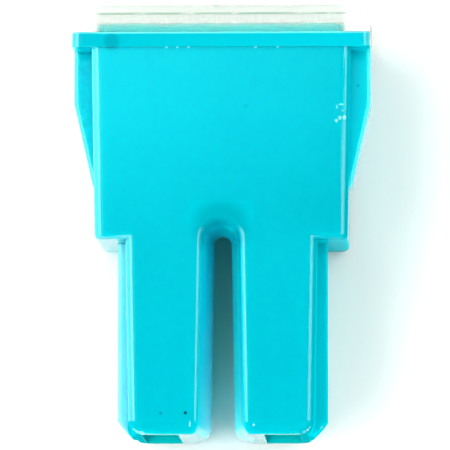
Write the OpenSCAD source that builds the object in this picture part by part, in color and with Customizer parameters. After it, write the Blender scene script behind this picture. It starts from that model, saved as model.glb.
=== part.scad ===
// Slow-blow fusible link with two female sockets, for 8 mm blade tabs.
// It lies on its back: X runs across the two legs, +Y runs from the leg ends to the clear
// cover, and +Z comes out of the front face. The origin is under the middle of the part.

/* [Blade sockets] */
// Distance between the centres of the two blades
blade_pitch = 9; // [8.8:0.1:10]
// Width of the male tab that a socket takes
blade_w = 8; // [7.5:0.1:9.5]
// Thickness of the male tab
blade_t = 0.8; // [0.7:0.05:0.9]
// Play between the tab's edges and the curls, on each side
blade_side_gap = 0.2; // [0.1:0.05:0.4]
// How much tighter than the tab each curl's lip sits
grip_bite = 0.05; // [0:0.01:0.1]
// Thickness of the terminals' sheet metal
sheet_t = 0.4; // [0.35:0.05:0.5]
// Length of the curled receptacle
receptacle_len = 11.6; // [10.5:0.1:12]
// Width of the flat neck above the receptacle
neck_w = 4.6; // [4:0.1:6]
// Height of the neck's top end above the leg ends
neck_top_v = 22; // [21.5:0.1:24]

/* [Back-up springs] */
// Thickness of the spring strip
spring_t = 0.25; // [0.2:0.05:0.3]
// Length of the spring along the receptacle
spring_len = 5; // [3:0.1:6]
// Height of the spring's lower end above the leg ends
spring_v = 4; // [3:0.1:5]
// Gap between the spring and the receptacle
spring_gap = 0.02; // [0.01:0.01:0.05]
// Straight run of each spring end past the top of its curl
spring_lip = 0.8; // [0.4:0.1:1.2]

/* [Legs] */
// Width of the gap between the leg ends, in the front and back faces
gap_w = 3.4; // [3.3:0.1:3.8]
// Outer wall of each leg at its end, beside the channel
leg_wall = 0.78; // [0.7:0.02:1.1]
// Length of the legs from their ends to the shoulders
leg_len = 14.4; // [14.2:0.1:17]
// Draft on each side of the body and legs, in degrees
draft = 1; // [0.5:0.1:1.2]
// How far the legs' inner sides bulge into the gap at mid-depth
gap_flare = 0.82; // [0.4:0.02:0.9]
// Chamfer along the gap's front and back edges
gap_edge = 0.3; // [0.1:0.05:0.4]
// Chamfer on the outer corner of each leg's end
end_chamfer = 0.65; // [0.3:0.05:0.8]
// Chamfer on the inner corner of each leg's end
inner_chamfer = 0.5; // [0.2:0.05:0.6]
// Length of the lead-in slope at the leg ends
lead_len = 1; // [0.9:0.1:1.2]
// How far the lead-in slope takes in the front and back faces
lead_in = 0.15; // [0.05:0.05:0.25]
// Width of the mouth in each leg's end
mouth_w = 2.65; // [2.4:0.05:2.8]
// Height of the ledge in the mouth that the receptacle stands on
ledge_v = 1.2; // [1:0.1:1.6]
// How far the ledge reaches under each curl
ledge_in = 0.3; // [0.15:0.05:0.6]
// Length of the mouth's funnel
funnel_len = 0.7; // [0.4:0.05:0.9]
// How much further the funnel opens than the channel, to the front and back
funnel_out = 0.45; // [0.1:0.05:0.5]
// Play around the sprung terminal in its channel, on each side
channel_gap = 0.1; // [0.05:0.01:0.15]
// Height of the outer ribs' feet above the leg ends
rib_foot_v = 1.05; // [1:0.05:2]
// How far the outer ribs stand out from the legs' outer sides
rib_out = 0.7; // [0.4:0.05:0.9]

/* [Body] */
// Width of the body under the flange
body_w = 19.1; // [18.6:0.1:19.6]
// Length of the body from the shoulders to the flange
body_len = 14.2; // [13.5:0.1:16]
// Radius of the body's and legs' long outer edges
edge_r = 0.35; // [0.1:0.05:0.6]
// Front and back walls of the body and legs
side_wall = 1.08; // [0.9:0.02:1.4]
// End walls of the chamber, under the flange
end_wall = 1.25; // [1:0.05:1.6]
// Thickness of the chamber's floor above the shoulders
floor_t = 2.6; // [2.4:0.1:3.2]

/* [Wings and ribs] */
// Thickness of the side wings and leg ribs, front to back
wing_t = 4.2; // [3:0.1:6]
// Radius of the wings' and ribs' long edges
wing_edge_r = 0.35; // [0.1:0.05:0.6]
// Length of each wing's straight part under the flange
wing_straight = 3.8; // [2:0.1:5]
// Length of each wing's tapered part
wing_taper_len = 6.3; // [5:0.1:7.5]
// How far the foot of each wing stands out from the body's side
wing_foot_out = 0.2; // [0.1:0.05:0.5]

/* [Flange and lip] */
// Width of the flange and the cover
flange_w = 22; // [21.6:0.1:24]
// Height of the flange
flange_h = 1.1; // [0.8:0.1:1.6]
// How far the flange stands out in front of and behind the body
flange_step = 0.2; // [0.15:0.05:0.6]
// Radius of the flange's and the cover's upright corners
flange_corner_r = 0.8; // [0.3:0.1:1.2]
// Wall of the lip around the chamber's opening
lip_wall = 0.6; // [0.5:0.05:0.65]
// Height of the lip above the flange
lip_h = 0.75; // [0.5:0.05:1]

/* [Clear cover] */
// Height of the cover above the flange
cover_h = 2; // [1.9:0.05:2.6]
// Thickness of the cover's top
cover_top = 0.6; // [0.5:0.05:0.8]
// Thickness of the cover's two end walls
cover_end_wall = 1.15; // [0.9:0.05:1.3]
// Play between the lip and the cover's long walls, on each side
cover_gap = 0.08; // [0.03:0.01:0.12]
// Radius of the cover's top edges
cover_edge_r = 0.45; // [0.2:0.05:0.5]
// How far the lip's snap hooks reach into the cover's end walls
snap_bite = 0.12; // [0.05:0.01:0.2]
// Play around each snap hook in its groove
snap_gap = 0.05; // [0.02:0.01:0.08]
// Length of the snap hooks, front to back
snap_len = 8; // [5:0.1:9]

/* [Locking boss] */
// How far the boss reaches into its pocket
boss_bite = 0.4; // [0.2:0.05:0.5]
// Length of the boss
boss_len = 1.6; // [1.2:0.1:1.8]
// Width of the boss, front to back
boss_w = 2; // [1.5:0.1:3]
// Distance of the boss below the receptacle's top end
boss_drop = 2.2; // [2:0.1:3]
// Slope of the boss's underside: height for each unit of reach
boss_slope = 0.5; // [0.3:0.1:1]
// Play around the boss in its pocket
boss_gap = 0.12; // [0.05:0.01:0.2]

/* [Fusible strip] */
// Thickness of the strip
strip_t = 0.3; // [0.2:0.05:0.4]
// Width of the strip's welded end tabs
tab_w = 4; // [3:0.1:4.6]
// Length of the end tabs
tab_len = 3.2; // [2.5:0.1:3.6]
// Width of the strip between the tabs
strip_w = 1.6; // [1.4:0.1:2]
// Width of the strip where it melts, beside the slug
neck_melt_w = 0.9; // [0.7:0.05:1.2]
// Length of each melting stretch
neck_melt_len = 0.7; // [0.4:0.05:0.8]
// Height of the strip's bridge above the neck tops
bridge_rise = 5.4; // [4.5:0.1:5.6]
// Inner radius of the strip's bends
bend_r = 0.7; // [0.4:0.05:1]

/* [Tin slug] */
// Width of the slug between its claws, front to back
slug_w = 1.6; // [1.2:0.1:1.8]
// Height of the slug
slug_h = 0.9; // [0.6:0.05:1]
// Length of the slug along the strip
slug_len = 2.2; // [1.8:0.1:2.4]
// How far the slug shows past the claws at each end
slug_show = 0.3; // [0.1:0.05:0.4]
// Length of each claw's folded tip
claw_tip = 0.5; // [0.3:0.05:0.55]

/* [Hidden] */

eps = 0.01;                                 // thickness of a slab that only spans a hull
over = 1;                                   // how far a cut runs past what it cuts
root_len = 1;                               // how far the legs run up into the body's solid
blend_fn = 32;                              // facets of round corners inside a hull
turn_step = 15;                             // degrees between the facets of a rounded top edge
least_r = 0.1;                              // smallest radius that a rounded corner's top keeps
$fn = 48;

// Sprung receptacle and the channel it slides into
curl_r = (blade_t - grip_bite) + sheet_t;   // outer radius: its lip sits at its own centre height
receptacle_w = blade_w + 2 * blade_side_gap + 2 * sheet_t;
curl_z = receptacle_w / 2 - curl_r;         // centre of each curl, from mid-depth
spring_in_r = curl_r + spring_gap;
spring_out_r = spring_in_r + spring_t;
channel_w = 2 * (spring_out_r + channel_gap);
channel_depth = 2 * (curl_z + spring_out_r + channel_gap);
socket_x = blade_pitch / 2;
base_x = socket_x - curl_r;                    // inner face of the receptacle's base
channel_x = socket_x - channel_w / 2;         // inner wall of the channel
receptacle_top_v = ledge_v + receptacle_len;
boss_v = receptacle_top_v - boss_drop;

// Heights above the leg ends
floor_v = leg_len + floor_t;
flange_v = leg_len + body_len;
cover_v = flange_v + flange_h;
top_v = cover_v + cover_h;
wing_knee_v = flange_v - wing_straight;
wing_foot_v = wing_knee_v - wing_taper_len;

// Widths and depths
body_depth = channel_depth + 2 * side_wall;
flange_depth = body_depth + 2 * flange_step;
chamber_w = body_w - 2 * end_wall;
lip_w = chamber_w + 2 * lip_wall;
lip_depth = channel_depth + 2 * lip_wall;
cavity_w = flange_w - 2 * cover_end_wall;
cavity_depth = lip_depth + 2 * cover_gap;
cavity_h = cover_h - cover_top;
hook_x = cavity_w / 2 + snap_bite;
rib_w = legs_w(leg_len) + 2 * rib_out;

// Fusible strip
tab_v = neck_top_v - tab_len;
bridge_v = neck_top_v + bridge_rise;        // underside of the strip's bridge
claw_len = slug_len - 2 * slug_show;
claw_top_v = bridge_v + strip_t + slug_h + strip_t;

// Width of the body at a height
function body_w_at(v) = body_w - 2 * (flange_v - v) * tan(draft);
// Width over both legs at a height
function legs_w(v) = 2 * (socket_x + channel_w / 2 + leg_wall + v * tan(draft));
// Half of the gap between the legs at a height, at the faces and at mid-depth
function gap_face(v) = gap_w / 2 - v * tan(draft);
function gap_mid(v) = gap_face(v) - gap_flare;

// Moves a shape from leg-end heights about mid-depth into the part's own frame
module place() {
    translate([0, -top_v / 2, flange_depth / 2]) children();
}

// Extrudes an outline drawn in X and Z from one height to another
module rise(from_v, to_v) {
    translate([0, to_v, 0]) rotate([90, 0, 0]) linear_extrude(to_v - from_v) children();
}

// Extrudes an outline drawn in Y and Z across X
module across(from_x, to_x) {
    translate([from_x, 0, 0]) rotate([90, 0, 90]) linear_extrude(to_x - from_x) children();
}

// Extrudes an outline drawn in X and Y through a depth about mid-depth
module through(depth) {
    translate([0, 0, -depth / 2]) linear_extrude(depth) children();
}

// Rectangle with true round corners
module round_rect(w, d, r) {
    square([w - 2 * r, d], center = true);
    square([w, d - 2 * r], center = true);
    for (x = [-1, 1], z = [-1, 1])
        translate([x * (w / 2 - r), z * (d / 2 - r)]) circle(r);
}

// Thin rounded slab, for a hull to span
module slab(v, w, d, r) {
    rise(v, v + eps) round_rect(w, d, r, $fn = blend_fn);
}

// ---- Housing: one moulding, with a chamber, two hollow legs, wings, ribs and a flange ----

module legs_block() {
    hull() {
        slab(leg_len + root_len, legs_w(leg_len + root_len), body_depth, edge_r);
        slab(lead_len, legs_w(lead_len), body_depth, edge_r);
        slab(end_chamfer, legs_w(end_chamfer),
             body_depth - 2 * lead_in * (1 - end_chamfer / lead_len), edge_r);
        slab(0, legs_w(0) - 2 * end_chamfer, body_depth - 2 * lead_in, edge_r);
    }
    rise(rib_foot_v, leg_len + root_len) round_rect(rib_w, wing_t, wing_edge_r);
}

module body_block() {
    hull() {
        slab(leg_len, body_w_at(leg_len), body_depth, edge_r);
        slab(flange_v, body_w, body_depth, edge_r);
    }
    hull() {
        slab(wing_foot_v, body_w_at(wing_foot_v) + 2 * wing_foot_out, wing_t, wing_edge_r);
        slab(wing_knee_v, flange_w, wing_t, wing_edge_r);
    }
    rise(wing_knee_v, flange_v + eps) round_rect(flange_w, wing_t, wing_edge_r);
}

// Lip that the cover fits over, with a snap hook at each end
module lip() {
    rise(flange_v, cover_v + lip_h) round_rect(lip_w, lip_depth, lip_wall);
    for (side = [0, 1]) mirror([side, 0, 0])
        through(snap_len) polygon(hook_outline(0));
}

function hook_outline(play) = [
    [lip_w / 2 - lip_wall / 2, cover_v + lip_h + play],
    [lip_w / 2, cover_v + lip_h + play],
    [hook_x + play, cover_v + lip_h / 2 + play],
    [hook_x + play, cover_v + lip_h / 2 - play],
    [lip_w / 2, cover_v - play],
    [lip_w / 2 - lip_wall / 2, cover_v - play]
];

// Thin slice of the gap at one depth: a round arch with straight sides that open downwards
module gap_slice(z, half_top, half_low) {
    translate([0, leg_len, z]) cylinder(h = eps, r = half_top, $fn = blend_fn);
    translate([-half_low, -over, z]) cube([2 * half_low, eps, eps]);
}

// Gap between the legs: narrowest at mid-depth, opening to the front and back
module gap() {
    face_z = body_depth / 2;
    edge_z = face_z - gap_edge;
    edge_flare = gap_flare * edge_z / face_z;
    for (side = [0, 1]) mirror([0, 0, side]) {
        hull() {
            gap_slice(-eps, gap_mid(leg_len), gap_mid(-over));
            gap_slice(face_z, gap_face(leg_len), gap_face(-over));
        }
        hull() {
            gap_slice(edge_z, gap_mid(leg_len) + edge_flare, gap_mid(-over) + edge_flare);
            gap_slice(face_z, gap_face(leg_len) + gap_edge, gap_face(-over) + gap_edge);
        }
    }
    corner_x = gap_mid(0);
    through(body_depth + over) polygon([
        [-corner_x - inner_chamfer - over, -over], [corner_x + inner_chamfer + over, -over],
        [corner_x, inner_chamfer], [-corner_x, inner_chamfer]
    ]);
}

// Channel up through one leg, its flared mouth and the pocket for the locking boss
module leg_channel() {
    mouth_z = channel_depth / 2 + funnel_out;
    throat_z = receptacle_w / 2 - ledge_in;
    translate([socket_x, 0, 0]) {
        rise(ledge_v, floor_v + eps) square([channel_w, channel_depth], center = true);
        across(-mouth_w / 2, mouth_w / 2) polygon([
            [-over, -mouth_z], [0, -mouth_z], [funnel_len, -throat_z], [ledge_v + eps, -throat_z],
            [ledge_v + eps, throat_z], [funnel_len, throat_z], [0, mouth_z], [-over, mouth_z]
        ]);
    }
    translate([channel_x - boss_bite - boss_gap, boss_v - boss_gap, -boss_w / 2 - boss_gap])
        cube([boss_bite + boss_gap + eps, boss_len + 2 * boss_gap, boss_w + 2 * boss_gap]);
}

module housing() {
    color("darkturquoise") place() difference() {
        union() {
            legs_block();
            body_block();
            rise(flange_v, cover_v) round_rect(flange_w, flange_depth, flange_corner_r);
            lip();
        }
        gap();
        rise(floor_v, top_v) square([chamber_w, channel_depth], center = true);
        for (side = [0, 1]) mirror([side, 0, 0]) leg_channel();
    }
}

// ---- Clear cover: a shallow cap that snaps over the lip and rests on the flange ----

// Upright corner of the cover, its top edge rounded over
module cover_corner() {
    edge = min(cover_edge_r, flange_corner_r - least_r);
    rotate([-90, 0, 0]) rotate_extrude($fn = blend_fn) polygon([
        [0, cover_v], [flange_corner_r, cover_v],
        for (turn = [0:turn_step:90])
            [flange_corner_r - edge * (1 - cos(turn)), top_v - edge * (1 - sin(turn))],
        [0, top_v]
    ]);
}

module clear_cover() {
    color("azure", 0.45) place() difference() {
        hull() for (x = [-1, 1], z = [-1, 1])
            translate([x * (flange_w / 2 - flange_corner_r), 0, z * (flange_depth / 2 - flange_corner_r)])
                cover_corner();
        rise(cover_v - over, cover_v + cavity_h)
            square([cavity_w, cavity_depth], center = true);
        for (side = [0, 1]) mirror([side, 0, 0])
            through(snap_len + 2 * snap_gap) polygon(hook_outline(snap_gap));
    }
}

// ---- Terminals: folded tin-plated strip with a curl along each edge ----

// Right-hand terminal; the left one is its mirror image
module terminal() {
    rise(ledge_v, receptacle_top_v) {
        translate([base_x, -curl_z]) square([sheet_t, 2 * curl_z]);
        for (side = [0, 1]) mirror([0, side]) translate([socket_x, curl_z]) difference() {
            circle(curl_r);
            circle(curl_r - sheet_t);
            translate([-curl_r - eps, -curl_r - eps]) square(curl_r + eps);
        }
    }
    // Neck that carries the current up into the chamber
    across(base_x, base_x + sheet_t) polygon([
        [receptacle_top_v - eps, -curl_z], [receptacle_top_v + sheet_t, -curl_z],
        [receptacle_top_v + curl_z - neck_w / 2 + sheet_t, -neck_w / 2], [neck_top_v, -neck_w / 2],
        [neck_top_v, neck_w / 2], [receptacle_top_v + curl_z - neck_w / 2 + sheet_t, neck_w / 2],
        [receptacle_top_v + sheet_t, curl_z], [receptacle_top_v - eps, curl_z]
    ]);
    // Boss that snaps down into the leg's inner wall: sloped below, square above
    boss_x = channel_x - boss_bite;
    through(boss_w) polygon([
        [base_x + eps, boss_v], [boss_x, boss_v + (base_x - boss_x) * boss_slope],
        [boss_x, boss_v + boss_len], [base_x + eps, boss_v + boss_len]
    ]);
}

module left_terminal() {
    color("gainsboro") place() mirror([1, 0, 0]) terminal();
}

module right_terminal() {
    color("gainsboro") place() terminal();
}

// ---- Back-up springs: stainless C-clips that press the curls onto the blade ----

// The back of the clip lies on the receptacle's base
module spring() {
    translate([spring_gap, 0, 0]) rise(spring_v, spring_v + spring_len) {
        translate([socket_x - spring_out_r, -curl_z]) square([spring_t, 2 * curl_z]);
        for (side = [0, 1]) mirror([0, side]) {
            translate([socket_x, curl_z]) difference() {
                circle(spring_out_r);
                circle(spring_in_r);
                translate([-spring_out_r - eps, -spring_out_r - eps])
                    square([2 * (spring_out_r + eps), spring_out_r + eps]);
            }
            translate([socket_x + spring_in_r, curl_z - spring_lip]) square([spring_t, spring_lip]);
        }
    }
}

module left_spring() {
    color("dimgray") place() mirror([1, 0, 0]) spring();
}

module right_spring() {
    color("dimgray") place() spring();
}

// ---- Fusible strip: stamped copper alloy, welded to both necks, with claws for the slug ----

// One half of the strip's side view: up from the tab, round the bend, to the middle
module strip_half_outline() {
    outer_r = bend_r + strip_t;
    bend_x = base_x - outer_r;
    translate([base_x - strip_t, neck_top_v - eps]) square([strip_t, bridge_rise - bend_r + eps]);
    translate([bend_x, bridge_v - bend_r]) intersection() {
        difference() {
            circle(outer_r);
            circle(bend_r);
        }
        square(outer_r);
    }
    translate([0, bridge_v]) square([bend_x, strip_t]);
}

// Side notches that thin the strip beside the slug
module melting_notches() {
    for (side = [-1, 1])
        translate([slug_len / 2, bridge_v - over, side * (neck_melt_w / 2 + strip_w / 2) - strip_w / 2])
            cube([neck_melt_len, strip_t + 2 * over, strip_w]);
}

module fusible_strip() {
    color("peru") place() {
        for (side = [0, 1]) mirror([side, 0, 0]) {
            translate([base_x - strip_t, tab_v, -tab_w / 2]) cube([strip_t, tab_len, tab_w]);
            difference() {
                through(strip_w) strip_half_outline();
                melting_notches();
            }
        }
        // Claws folded up and over the slug
        across(-claw_len / 2, claw_len / 2) for (side = [0, 1]) mirror([0, side]) {
            translate([bridge_v, 0]) square([strip_t, slug_w / 2 + strip_t]);
            translate([bridge_v, slug_w / 2]) square([claw_top_v - bridge_v, strip_t]);
            translate([claw_top_v - strip_t, slug_w / 2 - claw_tip])
                square([strip_t, claw_tip + strip_t]);
        }
    }
}

// ---- Tin slug: low-melting metal gripped by the claws ----

module tin_slug() {
    color("silver") place()
        translate([-slug_len / 2, bridge_v + strip_t, -slug_w / 2])
            cube([slug_len, slug_h, slug_w]);
}

housing();
clear_cover();
fusible_strip();
tin_slug();
left_terminal();
right_terminal();
left_spring();
right_spring();
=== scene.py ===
import math

import bmesh
import bpy
from mathutils import Matrix, Vector


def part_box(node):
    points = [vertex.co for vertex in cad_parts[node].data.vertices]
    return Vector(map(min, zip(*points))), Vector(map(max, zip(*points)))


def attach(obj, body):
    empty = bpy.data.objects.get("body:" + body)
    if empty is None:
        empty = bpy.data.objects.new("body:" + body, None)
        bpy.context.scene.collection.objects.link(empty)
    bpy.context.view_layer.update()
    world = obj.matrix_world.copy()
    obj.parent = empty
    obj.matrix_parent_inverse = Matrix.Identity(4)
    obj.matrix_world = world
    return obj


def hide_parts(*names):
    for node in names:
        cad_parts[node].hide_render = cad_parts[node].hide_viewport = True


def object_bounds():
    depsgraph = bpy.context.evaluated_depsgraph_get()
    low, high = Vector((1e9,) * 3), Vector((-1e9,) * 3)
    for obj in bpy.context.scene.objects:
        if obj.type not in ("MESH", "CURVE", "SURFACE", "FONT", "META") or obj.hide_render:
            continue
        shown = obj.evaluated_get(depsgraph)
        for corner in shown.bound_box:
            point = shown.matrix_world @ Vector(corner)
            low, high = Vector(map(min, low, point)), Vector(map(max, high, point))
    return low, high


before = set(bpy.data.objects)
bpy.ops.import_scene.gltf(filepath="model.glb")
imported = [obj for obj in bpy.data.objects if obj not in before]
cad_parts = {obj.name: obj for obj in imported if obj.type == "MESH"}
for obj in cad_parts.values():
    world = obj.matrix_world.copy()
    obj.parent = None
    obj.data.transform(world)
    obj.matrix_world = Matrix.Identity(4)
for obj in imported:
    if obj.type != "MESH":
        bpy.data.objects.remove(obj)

cad_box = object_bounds()

# ---- Camera ----
# A long lens looks down on the part as it lies on its back, from a little below its leg
# ends and a little to its right.
MM = 0.001                           # metres in a millimetre
legs_end = cad_box[0].y
view_at = Vector((0.31 * MM, legs_end + 15.405 * MM, 12.3 * MM))
view_from = view_at + Vector((16.25, -48.1, 547.9)) * MM
seen_width = 33.08 * MM
sensor_width = 36

camera = bpy.data.objects.new("camera", bpy.data.cameras.new("camera"))
bpy.context.scene.collection.objects.link(camera)
back = (view_from - view_at).normalized()
right = Vector((0, 1, 0)).cross(back).normalized()
facing = Matrix((right, back.cross(right), back)).transposed()
camera.matrix_world = Matrix.Translation(view_from) @ facing.to_4x4()
camera.data.sensor_width = sensor_width
camera.data.lens = sensor_width * (view_from - view_at).length / seen_width
camera.data.clip_start = 0.01
camera.data.clip_end = 10
bpy.context.scene.camera = camera
bpy.context.scene.view_settings.view_transform = "Standard"

# ---- Housing ----
# One moulding of light-blue nylon: a chamber on two hollow legs, with ribs, wings, a flange
# and a lip for the cover. It is lofted in layers from the leg ends up, then the mould's
# cores are cut out of it. Heights are above the leg ends, in millimetres.
low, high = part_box("housing")
middle_z = (low.z + high.z) / 2

leg_len = 14.4
legs_w = 13.6                        # over both legs, at their ends
body_w = 19.1                        # under the flange
body_d = 12.1
front = body_d / 2                   # the front face, from mid-depth
flange_at = 28.6
flange_top = 29.7
flange_w = 22.0
flange_d = 12.5
flange_r = 0.8
draft = math.tan(math.radians(1))    # the lean of every wall, so that it leaves the mould
edge_r = 0.8
sink = 0.3                           # how far a joined-on piece runs into what carries it
edge_long = 0.42                     # how far a rounded edge reaches
rise = (0, 0.02, 0.06, 0.12, 0.2, 0.3, edge_long)


def at(x, v, z):
    """A point at a height above the leg ends, about mid-depth."""
    return Vector((x * MM, legs_end + v * MM, middle_z + z * MM))


def round_ring(w, d, r, turns=10):
    """The outline of a rectangle with eased corners, as X and Z."""
    fullness = 2.9                   # 2 would make each corner a quarter of a circle
    r = max(r, 0.02)
    points = []
    for sx, sz in ((1, 1), (-1, 1), (-1, -1), (1, -1)):
        for k in range(turns + 1):
            a = math.radians(90 * (k if sx == sz else turns - k) / turns)
            points.append((sx * (w / 2 - r + r * abs(math.cos(a)) ** (2 / fullness)),
                           sz * (d / 2 - r + r * abs(math.sin(a)) ** (2 / fullness))))
    return points


def new_object(name, mesh):
    made = bpy.data.objects.new(name, mesh)
    bpy.context.scene.collection.objects.link(made)
    return made


def loft(name, layers):
    """A closed solid through outlines with equal numbers of points, its ends capped."""
    bm = bmesh.new()
    rows = [[bm.verts.new(p) for p in layer] for layer in layers]
    for a, b in zip(rows, rows[1:]):
        for k in range(len(a)):
            n = (k + 1) % len(a)
            bm.faces.new((a[k], a[n], b[n], b[k]))
    bm.faces.new(rows[0][::-1])
    bm.faces.new(rows[-1])
    bmesh.ops.recalc_face_normals(bm, faces=bm.faces)
    mesh = bpy.data.meshes.new(name)
    bm.to_mesh(mesh)
    bm.free()
    return new_object(name, mesh)


def stack(name, rings, x=0):
    """A solid of rounded rectangles stacked up the part: (height, width, depth, radius)."""
    return loft(name, [[at(x + px, v, pz) for px, pz in round_ring(w, d, r)] for v, w, d, r in rings])


def at_both_ends(name, outline, long):
    """A solid at each end of the lip, from an outline as X and height."""
    depths = (-long / 2, long / 2)
    return [loft(name, [[at(side * x, v, z) for x, v in outline] for z in depths])
            for side in (-1, 1)]


def boolean(piece, tools, what):
    """Joins closed solids to a piece, or cuts them from it."""
    for tool in tools:
        step = piece.modifiers.new(what, "BOOLEAN")
        step.operation = what
        step.object = tool
        step.solver = "EXACT"
        made = piece.evaluated_get(bpy.context.evaluated_depsgraph_get())
        piece.data = bpy.data.meshes.new_from_object(made)
        piece.modifiers.clear()
        bpy.data.objects.remove(tool)


def eased(v, long, deep):
    """How far a rounded end has drawn in at a height above that end."""
    return 0 if v >= long else deep * (1 - math.sqrt(1 - (1 - v / long) ** 2))


def body_w_at(v):
    return body_w - 2 * (flange_at - v) * draft


def legs_w_at(v):
    return legs_w + 2 * v * draft


def even_shading(piece):
    """Smooth faces, with every edge sharper than 35 degrees kept crisp."""
    for face in piece.data.polygons:
        face.use_smooth = True
    piece.data.set_sharp_from_angle(angle=math.radians(35))
    even = piece.modifiers.new("even shading", "WEIGHTED_NORMAL")
    even.keep_sharp = True
    even.weight = 100


# Body, from its rounded shoulders up into the flange
shoulder_r = 0.4
rings = []
for s in rise:
    v = leg_len + s
    pull = eased(s, shoulder_r, shoulder_r)
    rings.append((v, body_w_at(v) - 2 * pull, body_d - 2 * pull, edge_r - 0.6 * pull))
rings.append((flange_at + sink, body_w_at(flange_at + sink), body_d, edge_r))
housing = stack("housing_moulding", rings)

# Legs, with a lead-in slope and a rounded outer corner at their ends
end_long = 0.95                      # how far up a leg its rounded end reaches
corner_in = 0.65                     # how far the outer corner is drawn in there
lead_in = 0.15                       # how far the front and back slope in there
rings = []
for v in (0, 0.02, 0.06, 0.12, 0.2, 0.32, 0.48, 0.66, 0.82, end_long, 1, 1.06, 1.2):
    lead = lead_in * max(0, 1 - v) + eased(v, 0.1, 0.08)
    corner = eased(v, end_long, corner_in)
    round_end = 0.9 * max(0, 1 - v / end_long) ** 1.5
    rings.append((v, legs_w_at(v) - 2 * corner, body_d - 2 * lead, edge_r + round_end))
rings.append((leg_len + 1, legs_w_at(leg_len + 1), body_d, edge_r))
legs = stack("legs", rings)

# Ribs down the legs' outer sides, their feet sloping in
side_t = 4.2                         # thickness of the ribs and the wings
side_r = 0.4
rib_foot = 0.05
rib_out = 0.7
rib_w = legs_w_at(leg_len) + 2 * rib_out
slope_in = 1.05
slope_long = 1.15 * slope_in
rings = []
for s in rise[:-1] + (0.5, 0.75, 0.95, 1.1, 1.25):
    pull = slope_in * max(0, 1 - s / slope_long) ** 1.15
    rings.append((rib_foot + s, rib_w - 2 * pull, side_t - 2 * eased(s, 0.3, 0.12), side_r))
rings.append((leg_len + 1, rib_w, side_t, side_r))
ribs = stack("ribs", rings)

# Wings, spreading from a foot at mid-body to the flange's width
wing_foot = 18.5
wing_knee = 24.8
wing_w = flange_w - 0.02
foot_out = 0.2
foot_w = body_w_at(wing_foot) + 2 * foot_out
spread = (flange_w - foot_w) / (wing_knee - wing_foot)
rings = []
for s in rise:
    pull = eased(s, edge_long, 0.2)
    rings.append((wing_foot + s, foot_w + s * spread - 2 * pull, side_t - 2 * pull, side_r))
rings += [(v, wing_w, side_t, side_r) for v in (wing_knee, flange_at + sink)]
wings = stack("wings", rings)

# Flange, rounder along its top than along its underside
under = [(flange_at + 0.15 * s, eased(s, edge_long, 0.05)) for s in rise]
over = [(flange_top - 0.3 * s, eased(s, edge_long, 0.12)) for s in reversed(rise)]
flange = stack("flange", [(v, flange_w - 2 * pull, flange_d - 2 * pull, flange_r - pull)
                          for v, pull in under + over])

# Lip inside the cover, with a clip-on hook at each end
lip_top = 30.45
lip_w = 17.8
lip_d = 11.14
lip_r = 0.6
rings = [(flange_top - sink, lip_w, lip_d, lip_r)]
for s in reversed(rise):
    pull = eased(s, edge_long, 0.3)
    rings.append((lip_top - 0.7 * s, lip_w - 2 * pull, lip_d - 2 * pull, lip_r - 0.5 * pull))
lip = stack("lip", rings)
hook_w = 19.94
hook_long = 8
hook_v = flange_top + (lip_top - flange_top) / 2
hooks = at_both_ends("hook", [(lip_w / 2 - sink, lip_top), (lip_w / 2, lip_top), (hook_w / 2, hook_v),
                              (lip_w / 2, flange_top), (lip_w / 2 - sink, flange_top)], hook_long)
boolean(housing, [legs, ribs, wings, flange, lip] + hooks, "UNION")

# Gap between the legs: narrowest at mid-depth, its front and back edges rounded over
gap_w = 3.4
gap_flare = 0.82
gap_r = 0.36
past = 0.3                           # how far the cut starts outside the front face
wall_heights = (-1, 0, 0.04, 0.12, 0.26, 0.45, 0.65, 0.75, 0.85, end_long, 4, 8, 12)
quarter_turn = [math.radians(90 * k / 8) for k in range(9)]
half_turn = [math.radians(180 * k / 28) for k in range(29)]


def gap_outline(z, grow):
    """The gap's outline at one depth, from one leg's end round the arch to the other."""
    narrower = gap_flare * (1 - min(1, abs(z) / front))

    def half(v):
        rounded = 1 - 0.75 * min(1, max(0, end_long - v) / 0.1)
        return gap_w / 2 - v * draft - narrower + grow * rounded

    wall = [(half(v) + eased(max(v, 0), 0.85, 0.5), v) for v in wall_heights]
    top = half(leg_len)
    return ([at(-x, v, z) for x, v in wall]
            + [at(-top * math.cos(a), leg_len + top * math.sin(a), z) for a in half_turn]
            + [at(x, v, z) for x, v in reversed(wall)])


depths = [(front + past, gap_r + 0.02)]
for a in quarter_turn:
    depths.append((front - gap_r * (1 - math.cos(a)), gap_r * (1 - math.sin(a))))
depths += [(z, 0) for z in (4.6, 3.4, 2.2, 1.1)]
depths += [(0, 0)] + [(-z, grow) for z, grow in reversed(depths)]
gap = loft("gap", [gap_outline(z, grow) for z, grow in depths])

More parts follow.
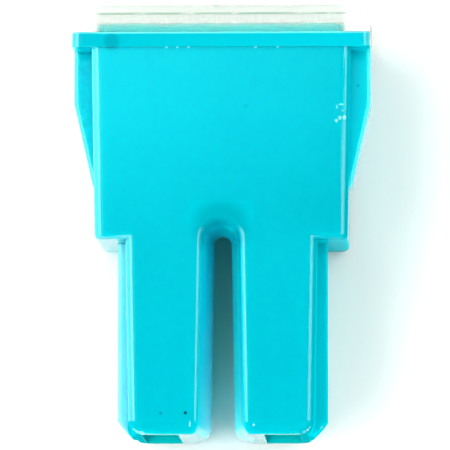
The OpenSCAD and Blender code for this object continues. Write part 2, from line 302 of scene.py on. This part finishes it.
# Chamber, the channels down through the legs, their mouths, and the locking pockets
core_d = 9.94
chamber_floor = 17.0
chamber_w = 16.6
chamber_r = 0.25
socket_x = 4.5
channel_w = 3.04
channel_r = 0.08
ledge_v = 1.2                        # top of the ledge that keeps a terminal in its leg
mouth_w = 2.65
mouth_d = 10.84
throat_d = 8.6
mouth_r = 0.1
funnel = 0.7                         # how far up the mouth narrows from mouth_d to throat_d
pocket_w = 1.2
pocket_d = 2.24
pocket_r = 0.05
pocket_in = 0.08
cores = [stack("chamber", [(v, chamber_w, core_d, chamber_r) for v in (chamber_floor, lip_top + 1)])]
for side in (-1, 1):
    leg_x = side * socket_x
    pocket_x = side * (socket_x - channel_w / 2 + pocket_in)
    channel = [(v, channel_w, core_d, channel_r) for v in (ledge_v, chamber_floor + sink)]
    mouth = [(v, mouth_w, d, mouth_r) for v, d in ((-1, mouth_d), (0, mouth_d), (funnel, throat_d),
                                                   (ledge_v + sink, throat_d))]
    pocket = [(v, pocket_w, pocket_d, pocket_r) for v in (10.48, 12.32)]
    cores.append(stack("channel", channel, leg_x))
    cores.append(stack("mouth", mouth, leg_x))
    cores.append(stack("pocket", pocket, pocket_x))

# Small gouges where something has knocked the right-hand edge: places, sizes and depths
nicks = []
for x, v, reach, deep in ((8.85, 23.98, 0.36, 0.04), (8.98, 23.72, 0.15, 0.04),
                          (8.72, 23.3, 0.18, 0.05), (9.1, 23.36, 0.18, 0.05),
                          (8.46, 23.1, 0.1, 0.04)):
    outlines = []
    for lift, size in ((0.1, 1.3), (0, 1), (-0.7 * deep, 0.45), (-deep, 0.1)):
        r = reach * size
        up = 0.2 * reach * (1 - size)
        outlines.append([at(x + r * math.cos(a), v + r * math.sin(a) + up, front + lift)
                         for a in (0.3, 1.1, 2.2, 3.3, 4.3, 5.4)])
    nicks.append(loft("nick", outlines))
boolean(housing, [gap] + cores + nicks, "DIFFERENCE")
even_shading(housing)
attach(housing, "root")
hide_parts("housing")


class Shade:
    """A shader socket that can be used in sums."""

    def __init__(self, tree, socket=None):
        self.tree = tree
        self.socket = socket

    def node(self, kind, settings=None, sockets=None, out=0):
        """Adds a node, sets it up, then fills or links its sockets."""
        made = self.tree.nodes.new(kind)
        for name, value in (settings or {}).items():
            setattr(made, name, value)
        for name, value in (sockets or {}).items():
            if isinstance(value, Shade):
                self.tree.links.new(value.socket, made.inputs[name])
            else:
                made.inputs[name].default_value = value
        return Shade(self.tree, made.outputs[out])

    def math(self, operation, *values):
        """A Math node on this value and others."""
        return self.node("ShaderNodeMath", {"operation": operation}, dict(enumerate((self, *values))))

    def __add__(self, other):
        return self.math("ADD", other)

    def __sub__(self, other):
        return self.math("SUBTRACT", other)

    def __rsub__(self, other):
        return self * -1 + other

    def __mul__(self, other):
        return self.math("MULTIPLY", other)

    def __truediv__(self, other):
        return self.math("DIVIDE", other)

    __radd__ = __add__
    __rmul__ = __mul__

    def within(self, low, high):
        """0 at low and below, 1 at high and above, with soft ends: low may be the larger."""
        return self.node("ShaderNodeMapRange", {"interpolation_type": "SMOOTHSTEP"},
                         {0: self, 1: low, 2: high})

    def beside(self, value, edge, clear):
        """1 close to a value on either side, falling from clear to 0 at edge."""
        return (self - value).math("ABSOLUTE").within(edge, clear)

    def blend(self, a, b):
        """Colour a where this is 0, and b where it is 1."""
        return self.node("ShaderNodeMix", {"data_type": "RGBA"}, {0: self, 6: a, 7: b}, out=2)

    def noise(self, scale, detail=3, rough=0.5):
        """Noise of a size in the part's own millimetres, 0 to 1."""
        return self.node("ShaderNodeTexNoise", {}, {"Vector": self, "Scale": scale / MM,
                                                    "Detail": detail, "Roughness": rough})

    def axis(self, k):
        """One of a place's three coordinates: 0 is X, 1 is Y and 2 is Z."""
        return self.node("ShaderNodeSeparateXYZ", {}, {0: self}, out=k)

    def stretched(self, x, y, z):
        return self.node("ShaderNodeMapping", {}, {"Vector": self, "Scale": (x, y, z)})

    def near(self, x, v, z, reach, squash=(1, 1, 1)):
        """1 at a place on the part, falling to 0 at a reach that a squash below 1 draws out."""
        spot = at(x, v, z) * Vector(squash)
        gone = self.node("ShaderNodeVectorMath", {"operation": "DISTANCE"},
                         {0: self.stretched(*squash), 1: spot}, out=1)
        return 1 - gone.within(reach * 0.5 * MM, reach * MM)

    def bump(self, strength, depth):
        return self.node("ShaderNodeBump", {}, {"Height": self, "Strength": strength,
                                                "Distance": depth * MM})


def strongest(masks):
    """The highest of several masks at each place."""
    top = masks[0]
    for mask in masks[1:]:
        top = top.math("MAXIMUM", mask)
    return top


def finish(name):
    """A new material, its shader, and its place on the part as a starting value."""
    made = bpy.data.materials.new(name)
    made.use_nodes = True
    place = Shade(made.node_tree).node("ShaderNodeTexCoord", out=3)
    return made, made.node_tree.nodes["Principled BSDF"], place


def dress(shader, **sockets):
    """Sets or links the sockets of a material's shader: base_color is Base Color."""
    for name, value in sockets.items():
        socket = shader.inputs[name.replace("_", " ").title().replace("Ior", "IOR")]
        if isinstance(value, Shade):
            value.tree.links.new(value.socket, socket)
        else:
            socket.default_value = value


def coat(piece, material):
    """Gives a piece one material all over."""
    piece.data.materials.clear()
    piece.data.materials.append(material)


# Light-blue nylon, glossy, with a fine spark-eroded grain and faint flow marks. Painted shade
# makes it deeper in colour low on the body, to the right on the body and to the left on the
# flange, and painted light makes it paler on the sides, the wings and in the gap.
nylon, shader, place = finish("light_blue_nylon")
right_of = place.axis(0) / MM
height = (place.axis(1) - legs_end) / MM
depth = ((place.axis(2) - middle_z) / (front * MM)).math("ABSOLUTE")
across = right_of.math("ABSOLUTE")
flow = place.stretched(1, 0.5, 1).noise(0.16, 2)
grain = place.noise(6, 2)
mottle = place.noise(1.8, 3)
coarse = place.noise(2.6, 4, 0.7)
on_wing = across.within(9.6, 9.9) * depth.within(0.6, 0.5)
on_flange = height.within(flange_at - 0.1, flange_at)
on_body = height.within(13, 16.5)
# Painted shade low on the body, to the right on the body and to the left on the flange; the flow marks, the
# mottle and the wings' speckle are the nylon's own tone
painted_shade_and_flow = 1.1 - 0.03 * height.math("MAXIMUM", 16.5).math("MINIMUM", 24)
painted_shade_and_flow = painted_shade_and_flow + on_flange * (0.15 - 0.026 * right_of)
painted_shade_and_flow = painted_shade_and_flow + on_body * right_of * 0.016 + 0.16 * (0.5 - flow) + 0.14 * (0.5 - mottle)
painted_shade_and_flow = painted_shade_and_flow + on_wing * (0.5 - coarse) * 1.4
pale_blue = (0.0, 0.58, 0.68, 1)
deep_blue = (0.0, 0.34, 0.41, 1)
tone = painted_shade_and_flow.math("MAXIMUM", 0).blend(pale_blue, deep_blue)

# Painted light on the walls that face sideways and on those of the gap, with painted shade up in its arch
sideways_on = depth.within(0.9, 0.7) * right_of.within(-12, 6)
tone = sideways_on.blend(tone, (0.0, 0.66, 0.76, 1))
left_wall_painted_light = (0.0, 0.64, 0.79, 1)
right_wall_painted_light = depth.within(0.6, 0.95).blend((0.0, 0.98, 1.0, 1), (0.0, 0.62, 0.86, 1))
gap_painted_light = right_of.within(-1, 1).blend(left_wall_painted_light, right_wall_painted_light)
gap_painted_light = (height.within(13.6, 14.8) * 0.35).blend(gap_painted_light, (0.0, 0.38, 0.44, 1))
in_gap = depth.within(0.985, 0.9) * across.within(2.4, 2.1) * height.within(16.8, 16.5)
tone = in_gap.blend(tone, gap_painted_light)

# Painted shade on the leg ends and under the left shoulder, and painted light on the lip, the ribs and the
# right wing
left_shoulder = height.beside(leg_len, 0.08, 0.03) * right_of.within(-6.9, -7.0)
on_end = height.within(0.12, 0.02).math("MAXIMUM", left_shoulder)
tone = on_end.blend(tone, (0.0, 0.35, 0.40, 1))
# Painted light on the lip, which the cover shades
on_lip = height.within(flange_top + 0.02, flange_top + 0.1)
tone = on_lip.blend(tone, (0.0, 0.64, 0.64, 1))
# A painted sheen on the left rib's front and painted shade on the right rib's front
left_rib = right_of.within(-6.95, -7.05) * height.within(leg_len, leg_len - 0.1) * depth.within(0.6, 0.5)
right_rib = right_of.within(6.9, 7.0) * height.within(leg_len, leg_len - 0.1) * depth.within(0.6, 0.5)
tone = left_rib.blend(tone, (0.15, 0.62, 0.75, 1))
tone = right_rib.blend(tone, (0.0, 0.59, 0.67, 1))
# Painted light on the right wing, paler away from the body that shades it
tone = (on_wing * right_of.within(9.5, 10.9) * 0.6).blend(tone, (0.0, 0.82, 0.92, 1))

# Painted shade over the arch, a painted highlight on the flange's top edge, and painted shade in the mouths
arch_painted_shade = place.near(0, 15.2, front, 2.6)
tone = (arch_painted_shade * 0.65).blend(tone, (0.0, 0.28, 0.34, 1))
top_edge_painted_highlight = height.beside(flange_top - 0.04, 0.09, 0.05) * depth.within(0.97, 1.0)
tone = top_edge_painted_highlight.blend(tone, (0.16, 0.90, 0.98, 1))
in_mouth = across.beside(socket_x, mouth_w / 2 + 0.04, mouth_w / 2 + 0.01) * depth.within(0.92, 0.88)
# Painted shade in the mouths
tone = in_mouth.blend(tone, (0.0, 0.40, 0.42, 1))

# Marks: a smudge on the flange and dark specks on the leg, the wings, the face and in the gap;
# then small pale ticks under the flange, which are painted glints
smudge = place.near(-8.05, 29.0, front, 0.8) * 0.55
tone = smudge.blend(tone, (0.0, 0.24, 0.32, 1))
specks = strongest([place.near(x, v, z, reach) * strength for x, v, z, reach, strength in (
    (-4.41, 1.55, front, 0.16, 0.45), (-2.6, 1.58, front, 0.16, 0.95),
    (10.05, 26.1, 2.1, 0.13, 0.35), (-9.54, 24.2, 2.1, 0.14, 0.5),
    (1.74, 24.25, front, 0.11, 0.2), (1.92, 24.22, front, 0.1, 0.2),
    (1.83, 24.1, front, 0.08, 0.25), (-0.76, 6.9, 0, 0.2, 0.7))])
tone = specks.blend(tone, (0.0, 0.05, 0.06, 1))
rim_glint_ticks = strongest([place.near(x, flange_at, front, 0.13) for x in (-4.0, -3.19, -2.38, 2.56, 4.19)])
tone = (rim_glint_ticks * 0.6).blend(tone, (0.35, 0.85, 0.95, 1))

# Pale spots and streaks painted as glints at the leg ends, by the arch and on the knocked edge, all broken up
glint_spots = [place.near(*spot) for spot in (
    (-5.85, 0.02, 5.8, 0.3), (-6.15, 0.2, 5.7, 0.18), (-6.35, 0.4, 5.7, 0.14),
    (6.2, 0.0, 5.8, 0.32), (6.4, 0.3, 5.7, 0.16), (2.42, 0.7, front, 0.13),
    (0.94, 0.88, 5.7, 0.15), (7.35, 0.7, 1.9, 0.18), (8.98, 23.8, front, 0.16),
    (9.12, 23.34, front, 0.2), (8.75, 23.3, front, 0.18), (8.5, 23.1, front, 0.14),
    (-1.05, 15.1, 5.8, 0.14), (-1.25, 15.0, 5.9, 0.12), (-0.75, 15.0, 5.6, 0.1))]
glint_streaks = [place.near(*spot) * 0.8 for spot in (
    (-6.43, 0.7, 5.7, 0.1, (1, 0.25, 1)), (6.52, 0.66, 5.7, 0.1, (1, 0.25, 1)),
    (-2.27, 0.65, front, 0.1, (1, 0.22, 1)), (-1.65, 0.36, front, 0.1, (0.16, 1, 1)),
    (8.85, 24.3, front, 0.08, (0.3, 1, 1)), (8.55, 24.1, front, 0.08, (1, 0.4, 1)))]
painted_glints = strongest(glint_spots + glint_streaks) * place.noise(7, 3, 0.7).within(0.36, 0.56)
tone = (painted_glints * 0.7).blend(tone, (0.5, 0.95, 1.0, 1))

# A painted glow in the gap: the right leg's wall emits light to stand in for light coming through it
painted_gap_glow = in_gap * depth.within(0.75, 0.0) * right_of.within(-0.5, 0.5)
texture = grain + on_wing * 2 * place.noise(7, 3)
dress(shader, base_color=tone, roughness=0.06 + 0.04 * grain, normal=texture.bump(0.12, 0.02),
      subsurface_weight=1.0, subsurface_radius=(0.1, 0.95, 0.65), subsurface_scale=1.5 * MM,
      emission_color=painted_gap_glow.blend((0, 0, 0, 1), (0.0, 0.17, 0.24, 1)), emission_strength=1.0)

# Matt in the mouths, round the arch, on the rim, and where the edges are rubbed
leg_ends = across.within(5.7, 5.9) * height.within(1.1, 0.9)
round_arch = height.within(14.9, 15.4) * across.within(2.6, 2.3) * height.within(17.5, 17.0)
leg_edge = (right_of - height * draft).within(6.5, 6.62) * height.within(leg_len + 0.05, leg_len - 0.05)
body_edge = (right_of + (flange_at - height) * draft).within(9.27, 9.37) * depth.within(0.6, 0.7)
body_edge = body_edge * height.within(leg_len - 0.1, leg_len) * height.within(flange_at + 0.1, flange_at)
right_shoulder = right_of.within(6.8, 7) * height.within(14.75, 14.6) * height.within(14.2, 14.35) * 0.85
rim = height.within(flange_at - 0.02, flange_at + 0.04) * height.within(flange_top - 0.1, flange_top - 0.2)
rim = rim * depth.within(0.97, 0.99) * across.within(10.5, 10.1) * 0.85
dull = strongest((in_mouth, leg_ends, round_arch, leg_edge, body_edge, right_shoulder, rim))
matt = tone.node("ShaderNodeBsdfDiffuse", {}, {"Color": tone, "Roughness": 0.5})
gloss = Shade(nylon.node_tree, shader.outputs[0])
surface = tone.node("ShaderNodeMixShader", {}, {0: dull, 1: gloss, 2: matt})
nylon.node_tree.links.new(surface.socket, nylon.node_tree.nodes["Material Output"].inputs["Surface"])
coat(housing, nylon)

# ---- Terminals ----
# Strips of copper alloy, tin-plated, then stamped and folded: each has a receptacle with a
# curl along both edges, a boss that locks it in its leg, and a neck up into the chamber.
tin_plate, shader, place = finish("tin_plate")
rolled = place.stretched(8, 0.6, 8).noise(1.6, 3)
dull = place.noise(0.5, 4).within(0.4, 0.7)
dress(shader, base_color=dull.blend((0.80, 0.79, 0.76, 1), (0.66, 0.65, 0.62, 1)), metallic=1.0,
      roughness=0.24 + 0.14 * rolled + 0.12 * dull, normal=rolled.bump(0.12, 0.01))


def carry(names, material, edge):
    """Gives stamped pieces their finish, and breaks their sheared edges."""
    for name in names:
        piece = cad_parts[name]
        coat(piece, material)
        piece.modifiers.new("one skin", "WELD").merge_threshold = 0.001 * MM
        broken = piece.modifiers.new("broken edges", "BEVEL")
        broken.width = edge * MM
        broken.segments = 2
        broken.limit_method = "ANGLE"
        broken.angle_limit = math.radians(40)
        even = piece.modifiers.new("even shading", "WEIGHTED_NORMAL")
        even.weight = 100


carry(("left_terminal", "right_terminal"), tin_plate, 0.05)

# ---- Back-up springs ----
# C-clips of stainless strip round the receptacles, rolled bright and faintly straw-coloured
# from tempering.
spring_steel, shader, place = finish("spring_steel")
brushed = place.stretched(0.5, 14, 0.5).noise(1.2, 3)
temper = place.noise(0.35, 2).within(0.45, 0.75)
dress(shader, base_color=temper.blend((0.60, 0.59, 0.57, 1), (0.58, 0.52, 0.43, 1)), metallic=1.0,
      roughness=0.2 + 0.2 * brushed, normal=brushed.bump(0.1, 0.01))
carry(("left_spring", "right_spring"), spring_steel, 0.04)

# ---- Fusible strip ----
# A stamped bridge of copper alloy, welded to both necks, with notches where it melts and two
# claws round the slug. Handling and the welds have darkened it in patches.
copper_alloy, shader, place = finish("copper_alloy")
tarnish = place.noise(0.9, 5, 0.6).within(0.42, 0.68)
lines = place.stretched(0.6, 0.6, 9).noise(1.5, 2)
dress(shader, base_color=tarnish.blend((0.86, 0.56, 0.37, 1), (0.52, 0.30, 0.19, 1)), metallic=1.0,
      roughness=0.26 + 0.22 * tarnish + 0.08 * lines, normal=lines.bump(0.1, 0.01))
carry(("fusible_strip",), copper_alloy, 0.04)

# ---- Tin slug ----
# A pellet of tin that the claws squeeze: its ends bulge out past them, and its cast skin
# shows dull crystals.
slug_low, slug_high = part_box("tin_slug")
slug_mid = (slug_low + slug_high) / 2
slug_half = (slug_high - slug_low) / 2 / MM
# How far out each layer of an end stands, and how full it is there
ends = ((-1, 0.30), (-0.985, 0.52), (-0.95, 0.72), (-0.90, 0.88), (-0.84, 0.97), (-0.78, 1),
        (-0.70, 0.97))
layers = []
for along, full in ends + tuple((-along, full) for along, full in reversed(ends)):
    ring = round_ring(2 * slug_half.z * full, 2 * slug_half.y * full, 0.38 * full, turns=5)
    layers.append([slug_mid + Vector((along * slug_half.x, y, z)) * MM for z, y in ring])
slug = loft("tin_pellet", layers)
for face in slug.data.polygons:
    face.use_smooth = True
rounded = slug.modifiers.new("rounded", "SUBSURF")
rounded.levels = 1
rounded.render_levels = 1
tin, shader, place = finish("cast_tin")
crystals = place.node("ShaderNodeTexVoronoi", {}, {"Vector": place, "Scale": 2.2 / MM})
grey = crystals.within(0.1, 0.8).blend((0.64, 0.65, 0.66, 1), (0.74, 0.745, 0.75, 1))
dress(shader, base_color=grey, metallic=1.0, roughness=0.34 + 0.2 * place.noise(2.5, 3),
      normal=place.noise(4, 3).bump(0.25, 0.02))
coat(slug, tin)
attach(slug, "root")
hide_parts("tin_slug")

# ---- Clear cover ----
# A moulded cap of clear plastic that clips over the lip and rests on the flange: its top
# and end walls are thick, and its long walls thin.
cover_top = 31.7
cover_r = 0.45
cavity_top = 31.1
cavity_w = 19.7
cavity_d = 11.3
cavity_r = 0.2
rings = []
for s in rise:
    pull = eased(s, edge_long, 0.04)
    rings.append((flange_top + 0.1 * s, flange_w - 2 * pull, flange_d - 2 * pull, flange_r))
for a in quarter_turn:
    pull = cover_r * (1 - math.cos(a))
    rings.append((cover_top - cover_r * (1 - math.sin(a)), flange_w - 2 * pull, flange_d - 2 * pull,
                  flange_r - 0.8 * pull))
cover = stack("clear_cap", rings)
cavity = stack("cavity", [(flange_top - 1, cavity_w, cavity_d, cavity_r),
                          (cavity_top - 0.15, cavity_w, cavity_d, cavity_r),
                          (cavity_top, cavity_w - cavity_r, cavity_d - cavity_r, cavity_r)])
# A groove in each end wall, a hair bigger than the hook that it clips over
groove_x = cavity_w / 2 - 0.02
grooves = at_both_ends("groove", [(cavity_w / 2 - sink, lip_top), (groove_x, hook_v + 0.1),
                                  (hook_w / 2 + 0.03, hook_v), (groove_x, hook_v - 0.1),
                                  (cavity_w / 2 - sink, flange_top)], hook_long + 0.2)
boolean(cover, [cavity] + grooves, "DIFFERENCE")
even_shading(cover)

# The plastic is clear where the wall is thin and close to the lip, and hazy white in the thick
# top and end walls. A painted grey-green line, a painted reflection, runs where the long walls meet the top.
clear, shader, place = finish("clear_plastic")
height = (place.axis(1) - legs_end) / MM
across = (place.axis(0) / MM).math("ABSOLUTE")
long_wall = ((place.axis(2) - middle_z) / MM).math("ABSOLUTE").within(cavity_d / 2 - 0.25, cavity_d / 2 - 0.1)
end_wall = across.within(lip_w / 2 - 0.2, lip_w / 2 + 0.6)
thick = height.within(cavity_top - 0.1, cavity_top + 0.08)
haze = place.stretched(1, 2.5, 1).noise(0.9, 5, 0.6)
blotches = haze.within(0.3, 0.5)
streaks = place.stretched(3, 0.5, 1).noise(2.2, 3)
misty = (height + 0.5 * (haze - 0.5)).within(flange_top + 0.2, lip_top + 0.3)
line = height.beside(cavity_top - 0.04, 0.1, 0.03) * blotches * (1 - 0.6 * end_wall) * long_wall
tone = thick.blend((0.58, 0.64, 0.59, 1), (0.49, 0.56, 0.50, 1))
tone = end_wall.blend(tone, (0.80, 0.83, 0.81, 1))
tone = line.blend(tone, (0.21, 0.36, 0.26, 1))
cloud = strongest((0.01 + 0.5 * misty + 0.14 * streaks, 0.68 * thick, 0.85 * end_wall))
cloud = cloud * long_wall + 0.08 * (1 - long_wall)
# Three small flecks in the top's front edge
flecks = strongest((place.near(-0.35, cover_top - 0.15, 5.9, 0.3),
                    place.near(-0.05, cover_top - 0.2, 5.9, 0.22),
                    place.near(3.5, cover_top - 0.15, 5.9, 0.22) * 0.6)) * blotches
tone = flecks.blend(tone, (0.12, 0.36, 0.34, 1))
dress(shader, base_color=tone, alpha=cloud.math("MAXIMUM", 0.9 * line),
      roughness=0.06 + 0.1 * haze, ior=1.5, normal=place.noise(3, 2).bump(0.1, 0.02))
coat(cover, clear)
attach(cover, "root")
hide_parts("clear_cover")

# ---- Floor and light ----
# A pale, plain floor inside a tent whose walls glow. Under the gap the floor is painted a darker
# green: painted shade, tinted as by light that has gone through the gap's walls.
bm = bmesh.new()
bmesh.ops.create_grid(bm, x_segments=4, y_segments=4, size=2)
mesh = bpy.data.meshes.new("floor")
bm.to_mesh(mesh)
bm.free()
floor = new_object("floor", mesh)
pale, shader, place = finish("pale_floor")
up_gap = (place.axis(1) - legs_end) / MM
under_gap = (place.axis(0) / MM).math("ABSOLUTE").within(2.2, 1.2)
painted_gap_tint = under_gap * up_gap.within(0, 9) * up_gap.within(18, 16)
dress(shader, base_color=painted_gap_tint.blend((0.93, 0.93, 0.89, 1), (0.62, 0.95, 0.78, 1)), roughness=0.6)
mesh.materials.append(pale)

world = bpy.data.worlds.new("light_tent")
bpy.context.scene.world = world
world.use_nodes = True
toward = Shade(world.node_tree).node("ShaderNodeTexCoord")
to_right = toward.axis(0)
to_far = toward.axis(1)
height = toward.axis(2)
sideways = (to_right.math("ABSOLUTE") - to_far.math("ABSOLUTE")).within(-0.15, 0.15)
sides = {"left": sideways * to_right.within(0.001, -0.001),
         "right": sideways * to_right.within(-0.001, 0.001),
         "far": (1 - sideways) * to_far.within(-0.001, 0.001),
         "near": (1 - sideways) * to_far.within(0.001, -0.001) * to_right.within(0.2, -0.2)}
# Brightness of each wall from 22 to 42, 42 to 62 and 62 to 93 degrees from overhead
walls = {"left": (5.8, 2.9, 2.1), "right": (3.3, 3.1, 0.5), "far": (0.6, 2.2, 0.0),
         "near": (0.0, 0.0, 4.6)}
edges = [math.cos(math.radians(degrees)) for degrees in (22, 42, 62, 93)]
glows = []
for side, powers in walls.items():
    for lower, upper, power in zip(edges[1:], edges, powers):
        if power:
            band = height.within(lower - 0.02, lower + 0.02) * height.within(upper + 0.01, upper - 0.01)
            glows.append(sides[side] * band * power)
# The opening overhead is dark, with the edge of a lamp showing at its far left
glows.append((to_far * 3 - to_right).within(0.32, 0.45) * height.within(0.95, 0.97) * 0.5)
backdrop = world.node_tree.nodes["Background"]
backdrop.inputs["Color"].default_value = (1, 1, 1, 1)
world.node_tree.links.new(sum(glows).socket, backdrop.inputs["Strength"])
